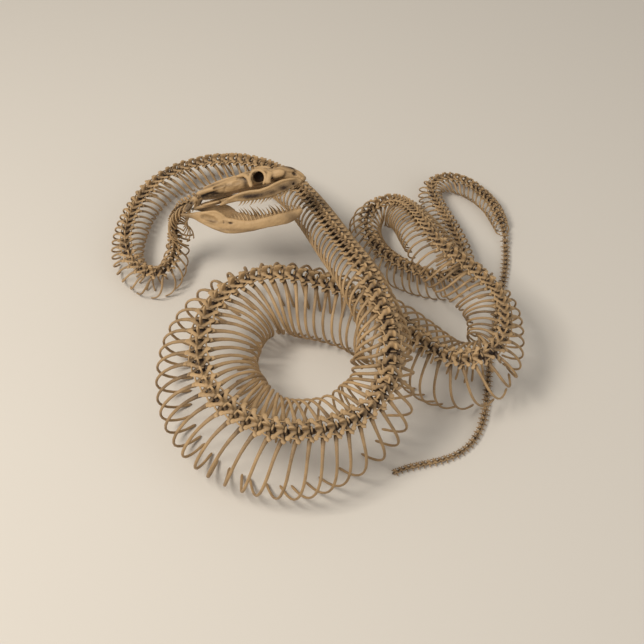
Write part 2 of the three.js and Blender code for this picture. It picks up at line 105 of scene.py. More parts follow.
def bone_material(name, light, dark, shine, grain_scale):
    """Aged bone: darkened in its hollows by painted shade, mottled, finely streaked and pitted."""
    material = bpy.data.materials.new(name)
    material.use_nodes = True
    nodes, links = material.node_tree.nodes, material.node_tree.links
    shader = nodes["Principled BSDF"]
    shader.inputs["Specular IOR Level"].default_value = 0.35

    def node(kind, **settings):
        made = nodes.new(kind)
        for key, value in settings.items():
            setattr(made, key, value)
        return made

    coords = node("ShaderNodeTexCoord")
    mottle = node("ShaderNodeTexNoise")
    mottle.inputs["Scale"].default_value = 90
    mottle.inputs["Detail"].default_value = 6
    pits = node("ShaderNodeTexNoise")
    pits.inputs["Scale"].default_value = grain_scale
    pits.inputs["Detail"].default_value = 8
    pits.inputs["Roughness"].default_value = 0.7
    cracks = node("ShaderNodeTexVoronoi", feature="DISTANCE_TO_EDGE")
    cracks.inputs["Scale"].default_value = 260
    # This attribute is painted shade: darker where the surface is shut in by itself or its neighbours.
    hollow_shade = node("ShaderNodeAttribute", attribute_name="hollow_shade")
    # On the skull bones this attribute also carries patches of painted shade.
    tint = node("ShaderNodeAttribute", attribute_name="tint")
    for texture in (mottle, pits, cracks):
        links.new(coords.outputs["Object"], texture.inputs["Vector"])

    def math_node(operation, first, second, clamp=False):
        made = node("ShaderNodeMath", operation=operation, use_clamp=clamp)
        for socket, value in zip(made.inputs, (first, second)):
            if isinstance(value, (int, float)):
                socket.default_value = value
            else:
                links.new(value, socket)
        return made.outputs[0]

    # Darkness: painted shade in the hollows, then broad patches, then each bone's own tint (on the skull with
    # painted shade patches), then fine pits.
    patches = math_node("MULTIPLY", math_node("SUBTRACT", mottle.outputs["Fac"], 0.5), 0.9)
    specks = math_node("MULTIPLY", math_node("SUBTRACT", pits.outputs["Fac"], 0.5), 0.7)
    stain_and_shade = math_node("ADD", math_node("MULTIPLY", hollow_shade.outputs["Fac"], 1.0), patches)
    stain_and_shade = math_node("ADD", stain_and_shade, specks)
    stain_and_shade = math_node("ADD", stain_and_shade, tint.outputs["Fac"], clamp=True)
    ramp = node("ShaderNodeValToRGB")
    links.new(stain_and_shade, ramp.inputs["Fac"])
    stops = ramp.color_ramp.elements
    stops[0].position, stops[0].color = 0.0, (*light, 1)
    stops[1].position, stops[1].color = 1.0, (*dark, 1)
    middle = stops.new(0.45)
    middle.color = (*[0.62 * a + 0.38 * b for a, b in zip(light, dark)], 1)
    links.new(ramp.outputs["Color"], shader.inputs["Base Color"])

    rough = math_node("ADD", math_node("MULTIPLY", pits.outputs["Fac"], 0.35), shine)
    links.new(rough, shader.inputs["Roughness"])
    seams = math_node("MINIMUM", math_node("MULTIPLY", cracks.outputs["Distance"], 9.0), 1.0)
    relief = math_node("ADD", math_node("MULTIPLY", seams, 0.25), pits.outputs["Fac"])
    bump = node("ShaderNodeBump")
    bump.inputs["Strength"].default_value = 0.5
    bump.inputs["Distance"].default_value = 0.0004
    links.new(relief, bump.inputs["Height"])
    links.new(bump.outputs["Normal"], shader.inputs["Normal"])
    return material


# ---------------------------------------------------------------- the backbone's path

RIB_THICKNESS = 0.27
RIB_SWEEP = 2.0
RIB_ARC = math.radians(153)
KEEL_DEPTH = 0.45
CROWDING = 0.72
SLOPE_SPAN = 3.0

# The same guide and build as the solids, in millimetres: plan position and lift of the spline's
# control points, then distance from the head, vertebra length, half-width, depth and lean.
GUIDE = np.array([
    [-72, 116, 90], [-111, 78, 92], [-133, 96, 54], [-133, 101, 3], [-138, 54, 0], [-181, 72, 0],
    [-182, 134, 0], [-159, 190, 0], [-100, 213, 0], [-51, 199, 4], [-16, 147, 19], [12, 52, 55],
    [33, -17, 86], [53, -66, 71], [56, -99, 27], [34, -123, -4], [-22, -146, 0], [-75, -124, 0],
    [-104, -72, 0], [-96, -5, 0], [-61, 34, 0], [-1, 30, 0], [62, -8, 0], [97, -63, 0],
    [144, -65, 17], [156, -11, 21], [139, 28, 20], [101, 40, 41], [85, 102, 31], [73, 159, 0],
    [36, 142, 0], [43, 91, 0], [94, 57, 0], [135, 58, 0], [121, 130, 0], [94, 192, 0],
    [140, 201, 0], [172, 158, 0], [176, 98, 0], [144, -7, 0], [139, -85, 0], [112, -126, 0],
    [43, -129, 0], [49, -178, 0],
], float)
BUILD = np.array([
    [0, 5.2, 5, 8, -34], [24, 5.7, 8, 12, -24], [70, 6.6, 10, 18, -5], [115, 7.3, 13, 23, 0],
    [190, 7.7, 15.5, 27, 3], [410, 8.7, 16.5, 28, 2], [535, 9.4, 17, 29, 0], [625, 9.5, 18, 34, 2],
    [707, 9.6, 24, 52, 16], [756, 9.6, 33, 62, 18], [807, 9.8, 40, 65, 12], [880, 10.6, 45, 67, 10],
    [950, 10.9, 42, 63, 8], [1045, 10.2, 37, 57, 7], [1125, 9.5, 32, 54, 3], [1210, 9, 30, 52, -6],
    [1255, 8.7, 27.5, 48, -12], [1305, 8.3, 24, 41, -16], [1370, 8, 22.5, 39, -6],
    [1425, 7.7, 20, 35, 0], [1513, 7.3, 15.5, 28, 0], [1695, 6.7, 13, 23, 0], [1815, 6.1, 11, 17, 0],
    [1870, 5.8, 9, 12, 0], [1910, 5.6, 6, 6, 0], [1930, 5.5, 3, 1, 0], [2230, 4.8, 3, 1, 0],
], float)
CAGES = [
    ("neck", 0), ("trunk_1", 200), ("trunk_2", 320), ("trunk_3", 450), ("trunk_4", 590),
    ("trunk_5", 730), ("trunk_6", 850), ("trunk_7", 970), ("trunk_8", 1090), ("trunk_9", 1210),
    ("trunk_10", 1320), ("trunk_11", 1440), ("trunk_12", 1560), ("trunk_13", 1670), ("trunk_14", 1780),
]
TAILS = [("tail_1", 1900), ("tail_2", 2060)]
RIBS_END = 1900


def build_at(s):
    """Vertebra length, half-width, depth and lean at a distance from the head."""
    at = min(max(s, BUILD[0, 0]), BUILD[-1, 0])
    i = min(int(np.searchsorted(BUILD[:, 0], at, side="right")) - 1, len(BUILD) - 2)
    f = (at - BUILD[i, 0]) / (BUILD[i + 1, 0] - BUILD[i, 0])
    f = f * f * (3 - 2 * f)
    return BUILD[i, 1:] + (BUILD[i + 1, 1:] - BUILD[i, 1:]) * f


def rest_height(pitch, half, depth, lean):
    """Height of the backbone over the floor when the lowest part of the ribs lies on it."""
    tilt = abs(math.radians(lean))
    angles = np.linspace(0, RIB_ARC, 41)
    fall = depth / 2 * (1 - np.cos(angles)) * math.cos(tilt)
    reach = fall + half * np.sin(angles) * math.sin(tilt) + RIB_THICKNESS / 2 * pitch
    return max(KEEL_DEPTH * pitch, reach.max())


def guide_curve(steps=4000):
    """Points of the uniform cubic B-spline, and their distances from the head."""
    u = np.linspace(0, len(GUIDE) - 3, steps + 1)
    i = np.minimum(u.astype(int), len(GUIDE) - 4)
    f = (u - i)[:, None]
    points = ((1 - f) ** 3 * GUIDE[i] + (3 * f ** 3 - 6 * f ** 2 + 4) * GUIDE[i + 1]
              + (-3 * f ** 3 + 3 * f ** 2 + 3 * f + 1) * GUIDE[i + 2] + f ** 3 * GUIDE[i + 3]) / 6
    steps_long = np.linalg.norm(np.diff(points, axis=0), axis=1)
    return points, np.concatenate([[0], np.cumsum(steps_long)])


GUIDE_POINTS, GUIDE_AT = guide_curve()
BODY_LENGTH = GUIDE_AT[-1]


def centre_at(s):
    at = min(max(s, 0), BODY_LENGTH)
    point = np.array([np.interp(at, GUIDE_AT, GUIDE_POINTS[:, k]) for k in range(3)])
    point[2] += rest_height(*build_at(at))
    return point


def unit(v):
    return v / np.linalg.norm(v)


def frame_at(s):
    """Centre, and the directions tailward, to the animal's right and towards its back."""
    s = min(max(s, 0), BODY_LENGTH)
    tailward = unit(centre_at(s + SLOPE_SPAN) - centre_at(s - SLOPE_SPAN))
    upright = unit(np.array([0, 0, 1.0]) - tailward * tailward[2])
    sideways = np.cross(upright, tailward)
    tilt = math.radians(build_at(s)[3])
    dorsal = upright * math.cos(tilt) + sideways * math.sin(tilt)
    return centre_at(s), tailward, np.cross(dorsal, tailward), dorsal


def list_stations():
    stations, s = [], 0.0
    while s < BODY_LENGTH - 3:
        pitch, half, depth, _ = build_at(s)
        centre, tailward, right, dorsal = frame_at(s)
        turn = frame_at(s + 2 * SLOPE_SPAN)[1] - frame_at(s - 2 * SLOPE_SPAN)[1]
        turn /= 4 * SLOPE_SPAN
        stations.append({
            "s": s, "pitch": pitch, "half": half, "depth": depth, "centre": centre,
            "tailward": tailward, "right": right, "dorsal": dorsal,
            "bend_right": turn @ right, "bend_belly": -(turn @ dorsal),
        })
        s += pitch
    return stations


STATIONS = list_stations()


# ---------------------------------------------------------------- mesh helpers

def new_object(name, verts, faces, material=None, smooth=True):
    mesh = bpy.data.meshes.new(name)
    mesh.from_pydata([tuple(v) for v in verts], [], [tuple(f) for f in faces])
    mesh.update()
    if smooth:
        mesh.polygons.foreach_set("use_smooth", [True] * len(mesh.polygons))
    made = bpy.data.objects.new(name, mesh)
    if material:
        mesh.materials.append(material)
    bpy.context.scene.collection.objects.link(made)
    return made


def lofted(rings, cap_start=True, cap_end=True):
    """Vertices and faces of a closed loft through rings of equal counts."""
    rings = np.asarray(rings)
    count, sides = rings.shape[:2]
    verts = rings.reshape(-1, 3)
    faces = []
    for i in range(count - 1):
        for k in range(sides):
            j = (k + 1) % sides
            faces.append((i * sides + k, i * sides + j, (i + 1) * sides + j, (i + 1) * sides + k))
    if cap_start:
        faces.append(tuple(range(sides - 1, -1, -1)))
    if cap_end:
        faces.append(tuple((count - 1) * sides + k for k in range(sides)))
    return verts, faces


def capsule(start, end, radius_start, radius_end, flat=(1, 1), twist_up=(0, 0, 1), sides=14):
    """A bar with round ends between two points; flat scales its two cross directions."""
    start, end = np.array(start, float), np.array(end, float)
    axis = unit(end - start)
    up = np.array(twist_up, float)
    up = unit(up - axis * (up @ axis)) if abs(unit(up) @ axis) < 0.99 else unit(np.cross(axis, [0, 1, 0]))
    side = np.cross(up, axis)
    turns = np.linspace(0, 2 * math.pi, sides, endpoint=False)
    profile = []
    for angle in np.linspace(-math.pi / 2, 0, 5)[:-1]:
        profile.append((start + axis * radius_start * math.sin(angle), radius_start * math.cos(angle) + 1e-4))
    for share in np.linspace(0, 1, 6):
        profile.append((start + (end - start) * share, radius_start + (radius_end - radius_start) * share))
    for angle in np.linspace(0, math.pi / 2, 5)[1:]:
        profile.append((end + axis * radius_end * math.sin(angle), radius_end * math.cos(angle) + 1e-4))
    rings = [
        [p + r * (flat[0] * math.cos(t) * side + flat[1] * math.sin(t) * up) for t in turns]
        for p, r in profile
    ]
    return lofted(rings)


def ellipsoid(centre, radii, lean=0.0, sides=18, rows=12):
    """An ellipsoid, leaned about the crosswise axis by an angle."""
    rings = []
    turns = np.linspace(0, 2 * math.pi, sides, endpoint=False)
    for angle in np.linspace(-math.pi / 2 + 0.05, math.pi / 2 - 0.05, rows):
        z, r = math.sin(angle), math.cos(angle)
        rings.append([(r * math.cos(t), r * math.sin(t), z) for t in turns])
    verts, faces = lofted(rings)
    verts = verts * np.array(radii)
    turned = verts.copy()
    turned[:, 0] = verts[:, 0] * math.cos(lean) + verts[:, 2] * math.sin(lean)
    turned[:, 2] = -verts[:, 0] * math.sin(lean) + verts[:, 2] * math.cos(lean)
    return turned + np.array(centre), faces


def plate(outline, thickness, edge_thickness=None):
    """A plate standing on the middle plane, from an outline in x and z."""
    outline = np.array(outline, float)
    middle = outline.mean(axis=0)
    edge = thickness if edge_thickness is None else edge_thickness
    rings = []
    for y, shrink in ((-0.5, 0.9), (-0.3, 1.0), (0.3, 1.0), (0.5, 0.9)):
        ring = middle + (outline - middle) * shrink
        width = thickness + (edge - thickness) * (ring[:, 1] - outline[:, 1].min()) / np.ptp(outline[:, 1])
        rings.append(np.column_stack([ring[:, 0], y * width, ring[:, 1]]))
    return lofted(rings)


def mirrored(shape):
    verts, faces = shape
    return verts * np.array([1, -1, 1]), [tuple(reversed(f)) for f in faces]


def merged(shapes):
    verts, faces, start = [], [], 0
    for shape_verts, shape_faces in shapes:
        verts.append(np.asarray(shape_verts, float))
        faces += [tuple(start + k for k in f) for f in shape_faces]
        start += len(shape_verts)
    return np.vstack(verts), faces


def fused(shapes, voxel, smoothing, keep, cutters=()):
    """One skin over overlapping shapes, with hollows cut by others: its vertices and triangles."""
    work = new_object("work", *merged(shapes))
    remesh = work.modifiers.new("remesh", "REMESH")
    remesh.mode = "VOXEL"
    remesh.voxel_size = voxel
    knife = None
    if cutters:
        knife = new_object("knife", *merged(cutters))
        carve = work.modifiers.new("carve", "BOOLEAN")
        carve.operation = "DIFFERENCE"
        carve.object = knife
        carve.use_self = True
        even = work.modifiers.new("even", "REMESH")
        even.mode = "VOXEL"
        even.voxel_size = voxel
    soften = work.modifiers.new("soften", "SMOOTH")
    soften.factor = 0.5
    soften.iterations = smoothing
    thin = work.modifiers.new("thin", "DECIMATE")
    thin.ratio = keep
    result = bpy.data.meshes.new_from_object(work.evaluated_get(bpy.context.evaluated_depsgraph_get()))
    build = bmesh.new()
    build.from_mesh(result)
    bmesh.ops.triangulate(build, faces=build.faces)
    build.to_mesh(result)
    build.free()
    verts = np.empty(len(result.vertices) * 3)
    result.vertices.foreach_get("co", verts)
    faces = np.empty(len(result.polygons) * 3, int)
    result.polygons.foreach_get("vertices", faces)
    bpy.data.meshes.remove(result)
    for used in (work, knife):
        if used:
            old = used.data
            bpy.data.objects.remove(used)
            bpy.data.meshes.remove(old)
    return verts.reshape(-1, 3), faces.reshape(-1, 3)


def vertex_normals(verts, faces):
    corners = verts[faces]
    normals = np.cross(corners[:, 1] - corners[:, 0], corners[:, 2] - corners[:, 0])
    total = np.zeros_like(verts)
    for k in range(3):
        np.add.at(total, faces[:, k], normals)
    return total / np.maximum(np.linalg.norm(total, axis=1, keepdims=True), 1e-12)


def hollowness(verts, faces, reach, blockers=None, rays=20):
    """How shut in each vertex is: the share of short rays from it that meet a surface, used as painted shade.
    """
    around_verts, around_faces = merged([(verts, faces)] + (blockers or []))
    tree = BVHTree.FromPolygons([Vector(v) for v in around_verts], [tuple(map(int, f)) for f in around_faces])
    normals = vertex_normals(verts, faces)
    golden = math.pi * (3 - math.sqrt(5))
    heights = (np.arange(rays) + 0.5) / rays
    angles = golden * np.arange(rays)
    spread = np.sqrt(1 - heights ** 2)
    local = np.column_stack([spread * np.cos(angles), spread * np.sin(angles), heights])
    result = np.zeros(len(verts))
    for i, (vertex, normal) in enumerate(zip(verts, normals)):
        helper = np.array([1.0, 0, 0]) if abs(normal[0]) < 0.8 else np.array([0, 1.0, 0])
        first = unit(np.cross(normal, helper))
        second = np.cross(normal, first)
        start = Vector(vertex + normal * reach * 0.02)
        hits = 0
        for a, b, c in local:
            way = Vector(first * a + second * b + normal * c)
            if tree.ray_cast(start, way, reach)[0] is not None:
                hits += 1
        result[i] = hits / rays
    return result


def spread_over_edges(values, faces, rounds):
    """Averages values with their neighbours along the edges."""
    edges = np.vstack([faces[:, [0, 1]], faces[:, [1, 2]], faces[:, [2, 0]]])
    for _ in range(rounds):
        total, count = values.copy(), np.ones(len(values))
        for a, b in ((0, 1), (1, 0)):
            np.add.at(total, edges[:, a], values[edges[:, b]])
            np.add.at(count, edges[:, a], 1)
        values = total / count
    return values


# ---------------------------------------------------------------- vertebra shapes, of unit length

# In a vertebra's own axes x runs tailward, y to the right and z towards the back.
def trunk_vertebra():
    centrum = [
        capsule((-0.36, 0, -0.06), (0.28, 0, -0.1), 0.31, 0.22, (1.08, 0.9)),
        ellipsoid((0.42, 0, -0.07), (0.2, 0.25, 0.22)),
        ellipsoid((-0.02, 0, -0.3), (0.36, 0.055, 0.13)),
        ellipsoid((0.02, 0, 0.26), (0.34, 0.38, 0.22)),
        ellipsoid((-0.38, 0, 0.44), (0.1, 0.3, 0.08)),
    ]
    spine = plate([(-0.16, 0.36), (-0.1, 0.78), (-0.02, 1.02), (0.14, 1.07), (0.36, 1.04), (0.46, 0.94),
                   (0.4, 0.72), (0.34, 0.42)], 0.1, 0.17)
    wing = [
        capsule((-0.08, 0.3, 0.14), (-0.3, 0.78, 0.15), 0.17, 0.14, (1.1, 0.5)),
        ellipsoid((-0.36, 0.84, 0.17), (0.23, 0.25, 0.07)),
        capsule((-0.36, 0.9, 0.13), (-0.42, 1.12, 0.12), 0.06, 0.035),
        capsule((0.08, 0.26, 0.32), (0.42, 0.62, 0.36), 0.16, 0.12, (1.1, 0.55)),
        ellipsoid((0.46, 0.7, 0.37), (0.21, 0.23, 0.065)),
        capsule((-0.26, 0.7, 0.2), (0.38, 0.58, 0.32), 0.07, 0.07),
        ellipsoid((-0.28, 0.46, -0.1), (0.13, 0.15, 0.19)),
    ]
    return centrum + [spine] + wing + [mirrored(part) for part in wing]


def tail_vertebra():
    body = [
        capsule((-0.36, 0, 0.02), (0.36, 0, 0.0), 0.26, 0.2),
        ellipsoid((0.44, 0, 0.0), (0.16, 0.2, 0.19)),
        ellipsoid((0.0, 0, 0.22), (0.3, 0.3, 0.18)),
    ]
    spine = plate([(-0.2, 0.3), (-0.08, 0.72), (0.3, 0.76), (0.42, 0.66), (0.34, 0.34)], 0.1, 0.16)
    process = [
        capsule((-0.1, 0.15, 0.02), (-0.06, 0.78, -0.06), 0.14, 0.07, (1.2, 0.7)),
        capsule((-0.1, 0.2, 0.2), (-0.42, 0.46, 0.24), 0.12, 0.08),
        capsule((0.1, 0.2, 0.26), (0.44, 0.4, 0.3), 0.11, 0.08),
        capsule((0.05, 0.1, -0.15), (0.16, 0.14, -0.36), 0.07, 0.05),
    ]
    return body + [spine] + process + [mirrored(part) for part in process]


# Fineness of the two vertebra skins, in vertebra lengths, and the share of triangles kept.
TRUNK_VOXEL, TRUNK_KEEP = 0.028, 0.19
TAIL_VOXEL, TAIL_KEEP = 0.034, 0.28
VERTEBRA_AO_REACH = 0.7
NEIGHBOUR_STEP = 1.02


def template(shapes, voxel, keep):
    """Vertices, faces and hollowness of one vertebra with its neighbours beside it, the hollowness kept as
    painted shade.
    """
    verts, faces = fused(shapes, voxel, 3, keep)
    neighbours = [(verts + np.array([step, 0, 0]), faces) for step in (-NEIGHBOUR_STEP, NEIGHBOUR_STEP)]
    hollow_shade = hollowness(verts, faces, VERTEBRA_AO_REACH, neighbours)
    hollow_shade = spread_over_edges(hollow_shade, faces, 1)
    return verts, faces, hollow_shade


# ---------------------------------------------------------------- body lengths

def to_frame(points_mm):
    return np.asarray(points_mm) * MM + np.array(GUIDE_SHIFT)


def axes_of(v):
    return np.column_stack([v["tailward"], v["right"], v["dorsal"]])


def vertebra_shape(v, template_parts, rng):
    """A copy of a template at a station, with small changes of its own."""
    verts, faces, hollow_shade = template_parts
    varied = verts * v["pitch"] * (1 + 0.04 * rng.standard_normal(3) * np.array([0.4, 1, 1]))
    placed = v["centre"] + varied @ axes_of(v).T
    # The hollowness is raised into stronger painted shade.
    return placed, faces, np.clip(hollow_shade * 1.8 - 0.2, 0, 1)


def rib_point(v, side, angle):
    reach = min(v["half"], CROWDING / max(side * v["bend_right"], 1e-6))
    depth = min(v["depth"], CROWDING / max(v["bend_belly"], 1e-6))
    trail = RIB_SWEEP * v["pitch"] * (angle / RIB_ARC) ** 1.5
    point = (v["centre"] + v["tailward"] * trail + v["right"] * side * reach * math.sin(angle)
             - v["dorsal"] * depth / 2 * (1 - math.cos(angle)))
    return point, reach


RIB_SIDES = 10
RIB_RINGS = 20
RIB_ROOT_OUT = 0.42


def rib_shape(v, side, rng):
    """A slender rib: a broad head on the vertebra, a flattened shaft and a blunt tip."""
    pitch = v["pitch"]
    _, reach = rib_point(v, side, 0)
    root = math.asin(min(RIB_ROOT_OUT * pitch / reach, 0.9))
    radius = RIB_THICKNESS / 2 * pitch
    wander = rng.standard_normal(2) * 0.05
    shaft = np.linspace(0.13, 0.97, RIB_RINGS - 7)
    shares = np.concatenate([[0, 0.015, 0.04, 0.08], shaft, [0.988, 0.997, 1.0]])
    swell = np.interp(shares, [0, 0.03, 0.09, 0.2, 0.6, 0.92, 0.97, 0.99, 1],
                      [0.9, 1.5, 1.15, 0.95, 0.88, 0.78, 0.88, 0.7, 0.25])
    centres = []
    for share in shares:
        angle = root + (RIB_ARC - root) * share
        point, _ = rib_point(v, side, angle)
        settle = (1 - min(share / 0.25, 1)) ** 2
        point = point - v["tailward"] * 0.26 * pitch * settle - v["dorsal"] * 0.1 * pitch * settle
        point = point + v["tailward"] * wander[0] * pitch * share * 2
        centres.append(point)
    centres = np.array(centres)
    along = np.gradient(centres, axis=0)
    turns = np.linspace(0, 2 * math.pi, RIB_SIDES, endpoint=False)
    rings = []
    for centre, direction, size in zip(centres, along, swell):
        direction = unit(direction)
        across = unit(v["tailward"] - direction * (v["tailward"] @ direction))
        normal = np.cross(direction, across)
        ring = [
            centre + radius * size * (1.05 * math.cos(t) * across + 0.8 * math.sin(t) * normal)
            for t in turns
        ]
        rings.append(ring)
    rings = np.array(rings)
    lowest = rings[:, :, 2].min(axis=1)
    rings[:, :, 2] += np.maximum(-lowest, 0)[:, None]
    verts, quads = lofted(rings)
    faces = []
    for face in quads:
        faces += [(face[0], face[k], face[k + 1]) for k in range(1, len(face) - 1)]
    # Painted shade on the rib: darkest at its root, a little darker at its tip, and darker on one side.
    inner = np.array([[0.5 - 0.5 * math.sin(t) * side for t in turns] for _ in shares])
    root_shade = np.interp(shares, [0, 0.06, 0.3, 0.9, 1], [0.75, 0.4, 0.12, 0.12, 0.35])[:, None]
    hollow_shade = np.clip(root_shade + 0.15 * inner, 0, 1).reshape(-1)
    return verts, np.array(faces), hollow_shade


VERTEBRA_TINT = 0.16
RIB_TINT = -0.02


def body_piece(name, row, template_parts, with_ribs, material, replaced):
    shapes, hollow_shade, tint = [], [], []
    for v in row:
        parts = [vertebra_shape(v, template_parts, RNG)]
        if with_ribs:
            parts += [rib_shape(v, side, RNG) for side in (1, -1)]
        for k, (verts, faces, part_shade) in enumerate(parts):
            shapes.append((verts, faces))
            hollow_shade.append(part_shade)
            base = RIB_TINT if k else VERTEBRA_TINT
            tint.append(np.full(len(verts), base + 0.1 * RNG.standard_normal()))
    verts, faces = merged(shapes)
    piece = new_object(name, to_frame(verts), faces, material)
    # The painted shade of every part, then each part's own tone.
    write_attribute(piece, "hollow_shade", np.concatenate(hollow_shade))
    write_attribute(piece, "tint", np.concatenate(tint))
    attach(piece, "root")
    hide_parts(*replaced)


def write_attribute(piece, name, values):
    layer = piece.data.attributes.new(name, "FLOAT", "POINT")
    layer.data.foreach_set("value", np.asarray(values, np.float32))


def add_body():
    trunk = template(trunk_vertebra(), TRUNK_VOXEL, TRUNK_KEEP)
    tail = template(tail_vertebra(), TAIL_VOXEL, TAIL_KEEP)
    spine_bone = bone_material("spine_bone", (0.45, 0.29, 0.14), (0.03, 0.014, 0.006), 0.38, 900)
    tail_bone = bone_material("tail_bone", (0.39, 0.25, 0.12), (0.03, 0.014, 0.006), 0.38, 900)
    ends = [start for _, start in CAGES[1:]] + [RIBS_END]
    for (name, start), end in zip(CAGES, ends):
        row = [v for v in STATIONS if start <= v["s"] < end]
        sides = [f"{name}_left", f"{name}_right"]
        body_piece(f"{name}_bones", row, trunk, True, spine_bone, sides)
    ends = [TAILS[1][1], BODY_LENGTH]
    for (name, start), end in zip(TAILS, ends):
        row = [v for v in STATIONS if start <= v["s"] < end]
        body_piece(f"{name}_bones", row, tail, False, tail_bone, [name])


# ---------------------------------------------------------------- the skull's own axes

# Millimetres: x towards the snout, y to the left, z towards the top, jaw joint near x = z = 0.
SKULL_YAW = math.radians(8)
SKULL_ROLL = math.radians(37)
OCCIPUT = np.array([8, 0, 12.0])
NECK_GAP = 0.3


def turned(v, axis, angle):
    """A vector turned about a unit axis."""
    return (v * math.cos(angle) + np.cross(axis, v) * math.sin(angle)
            + axis * (axis @ v) * (1 - math.cos(angle)))


def skull_axes():
    top = np.array([0, math.sin(SKULL_ROLL), math.cos(SKULL_ROLL)])
    snoutward = turned(np.array([1.0, 0, 0]), top, -SKULL_YAW)
    axes = np.column_stack([snoutward, np.cross(top, snoutward), top])
    first = STATIONS[0]
    neck = first["centre"] - first["tailward"] * (0.45 * first["pitch"] + NECK_GAP)
    return axes, neck - axes @ OCCIPUT


SKULL_AXES, SKULL_ORIGIN = skull_axes()


# ---------------------------------------------------------------- bone shapes of the skull

def smooth_rows(rows, count, softness=2):
    """Rows of numbers sampled evenly along their first column, with the corners rounded off."""
    rows = np.array(rows, float)
    at = np.linspace(rows[0, 0], rows[-1, 0], count)
    table = np.column_stack([at] + [np.interp(at, rows[:, 0], rows[:, k]) for k in range(1, rows.shape[1])])
    for _ in range(softness):
        table[1:-1, 1:] = (table[:-2, 1:] + 2 * table[1:-1, 1:] + table[2:, 1:]) / 4
    return table


def bar(rows, side, power=2.6, count=50, sides=20):
    """A bone along the skull: rows of x, its middle's y, top z, bottom z and half thickness."""
    table = smooth_rows(rows, count, 3)
    turns = np.linspace(0, 2 * math.pi, sides, endpoint=False)
    c, s = np.cos(turns), np.sin(turns)
    across = np.sign(c) * np.abs(c) ** (2 / power)
    along = np.sign(s) * np.abs(s) ** (2 / power)
    rounding = np.minimum(1, np.sqrt(np.minimum(np.arange(count), np.arange(count)[::-1]) / 2 + 0.08))
    rings = []
    for (x, y, top, bottom, half), share in zip(table, rounding):
        middle, high = (top + bottom) / 2, (top - bottom) / 2
        rings.append(np.column_stack([
            np.full(sides, x), side * (y + across * half * share), middle + along * high * share,
        ]))
    verts, faces = lofted(rings)
    return (verts, faces) if side > 0 else (verts, [tuple(reversed(f)) for f in faces])


def strut(points, radii, side=1, flat=1.0, flat_way=(0, 0, 1), count=36, sides=14):
    """A rounded rod through points of the left side; flat widens it along one way."""
    points = np.array(points, float)
    distance = np.concatenate([[0], np.cumsum(np.linalg.norm(np.diff(points, axis=0), axis=1))])
    radius_at = np.linspace(0, distance[-1], len(radii))
    rows = np.column_stack([distance, points, np.interp(distance, radius_at, radii)])
    table = smooth_rows(rows, count, 3)
    centres, sizes = table[:, 1:4], table[:, 4]
    ends = np.minimum(1, np.sqrt(np.minimum(np.arange(count), np.arange(count)[::-1]) / 3 + 0.05))
    along = np.gradient(centres, axis=0)
    turns = np.linspace(0, 2 * math.pi, sides, endpoint=False)
    way = np.array(flat_way, float)
    rings = []
    for centre, direction, size in zip(centres, along, sizes * ends):
        direction = unit(direction)
        up = unit(way - direction * (way @ direction))
        out = np.cross(up, direction)
        rings.append([centre + size * (flat * math.cos(t) * up + math.sin(t) * out) for t in turns])
    verts, faces = lofted(rings)
    return (verts, faces) if side > 0 else mirrored((verts, faces))


def blob(centre, radii, side=1, lean=0.0):
    verts, faces = ellipsoid(centre, radii, lean, 22, 16)
    return (verts, faces) if side > 0 else mirrored((verts, faces))


# A tooth's rings, as shares of its length, their corners, and how far its root is in the bone.
TOOTH_SHARES = (-0.12, 0.0, 0.2, 0.45, 0.7, 0.9, 1.0)
TOOTH_SIDES = 8
TOOTH_ROOT = 0.6


def tooth(base, length, rising, slant, lean_in, side):
    """A curved conical tooth: it stands off the bone, then sweeps back to a fine point."""
    turns = np.linspace(0, 2 * math.pi, TOOTH_SIDES, endpoint=False)
    way = 1 if rising else -1
    rings = []
    for share in TOOTH_SHARES:
        radius = max(0.3 * length ** 0.7 * (1 - share) ** 0.8, 0.05) * (1.1 if share < 0 else 1)
        back = slant * length * max(share, 0) ** 1.7
        inward, rise = lean_in * length * share, way * length * share
        centre = np.array([base[0] - back, base[1] - inward, base[2] + rise])
        rings.append([
            centre + radius * np.array([math.cos(t), math.sin(t), 0.25 * math.cos(t) * way]) for t in turns
        ])
    verts, faces = lofted(rings)
    if way < 0:
        faces = [tuple(reversed(f)) for f in faces]
    return (verts, faces) if side > 0 else mirrored((verts, faces))


def tooth_row(rows, edge, start, end, spacing, ends, middle, peak, slant, side):
    """Teeth along the top (edge 2) or bottom (edge 3) of a bar, each a little different."""
    table = smooth_rows(rows, 60, 3)
    count = round((end - start) / spacing)
    teeth = []
    for k in range(count + 1):
        share = k / count
        x = start + (end - start) * share
        y = np.interp(x, table[:, 0], table[:, 1])
        z = np.interp(x, table[:, 0], table[:, edge])
        size = ends + (middle - ends) * math.sin(math.pi * share ** peak)
        size *= 1 + 0.12 * RNG.standard_normal()
        rising = edge == 2
        base = (x, y, z + (-TOOTH_ROOT if rising else TOOTH_ROOT))
        slant_here = slant * (1 + 0.15 * RNG.standard_normal())
        teeth.append(tooth(base, size + TOOTH_ROOT, rising, slant_here, 0.1, side))
    return teeth


